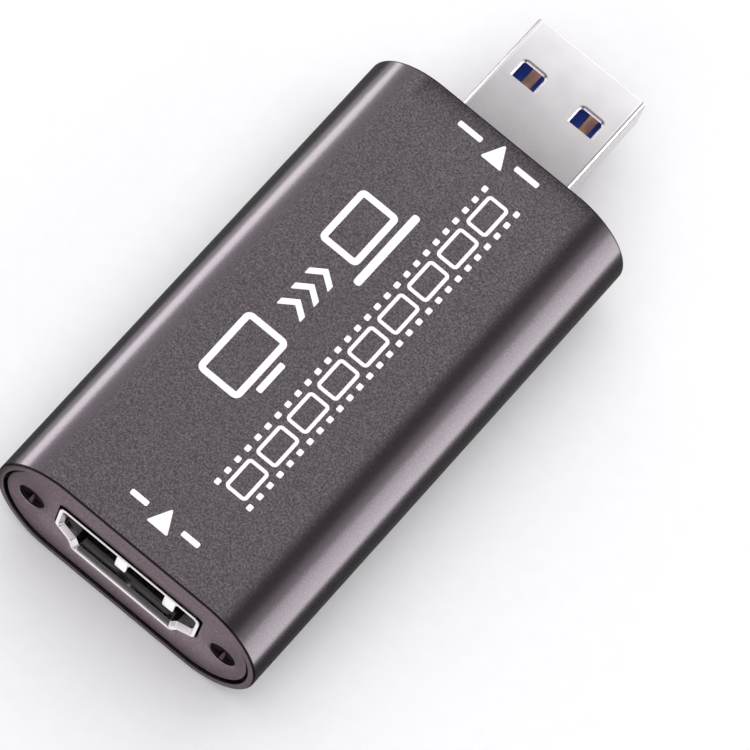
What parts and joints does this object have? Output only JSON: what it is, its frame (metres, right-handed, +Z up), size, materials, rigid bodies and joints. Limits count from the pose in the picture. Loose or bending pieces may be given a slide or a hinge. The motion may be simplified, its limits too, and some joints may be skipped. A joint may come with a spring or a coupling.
{
  "type": "video capture stick",
  "caption": "Small video capture stick: an extruded metal sleeve with screwed end plates, a display-cable socket at one end and a flat computer plug at the other.",
  "frame": {"origin": "on the resting face, under the middle of the whole length with its plug", "axes": "+Z up from the resting face, +Y along the length towards the output plug, +X across, to the right as seen from the input end"},
  "size_m": [0.028, 0.064, 0.013],
  "materials": {
    "anodised_sleeve": "bead-blasted, anodised dark grey",
    "anodised_plate": "fine-blasted, anodised dark grey",
    "black_screw": "black oxide steel",
    "board_laminate": "solder-masked glass laminate",
    "nickel_shell": "bright nickel plate on stamped steel",
    "black_moulding": "moulded glass-filled polymer",
    "gold_contact": "gold flash over nickel",
    "plug_shell": "satin nickel plate on stamped steel",
    "blue_moulding": "moulded navy blue polymer",
    "copper_contact": "copper-coloured plated strip",
    "chip_moulding": "moulded black epoxy",
    "tinned_lead": "matt tin plate",
    "crystal_can": "nickel lid on a ceramic base",
    "coil_block": "pressed iron powder",
    "capacitor_block": "fired ceramic block",
    "resistor_block": "glazed ceramic chip"
  },
  "bodies": {
    "root": {"sleeve": "anodised_sleeve", "input_end_plate": "anodised_plate", "output_end_plate": "anodised_plate", "input_end_screws": "black_screw", "output_end_screws": "black_screw", "circuit_board": "board_laminate", "input_socket_shell": "nickel_shell", "input_socket_moulding": "black_moulding", "input_socket_pegs": "black_moulding", "input_upper_contacts": "gold_contact", "input_lower_contacts": "gold_contact", "output_plug_shell": "plug_shell", "output_plug_moulding": "blue_moulding", "output_long_contacts": "copper_contact", "output_short_contacts": "copper_contact", "capture_chip": "chip_moulding", "capture_chip_leads": "tinned_lead", "memory_chip": "chip_moulding", "memory_chip_leads": "tinned_lead", "voltage_regulators": "chip_moulding", "regulator_leads": "tinned_lead", "crystal": "crystal_can", "power_coil": "coil_block", "surge_guards": "chip_moulding", "small_capacitors": "capacitor_block", "large_capacitors": "capacitor_block", "chip_resistors": "resistor_block", "ferrite_beads": "coil_block"}
  },
  "joints": []
}
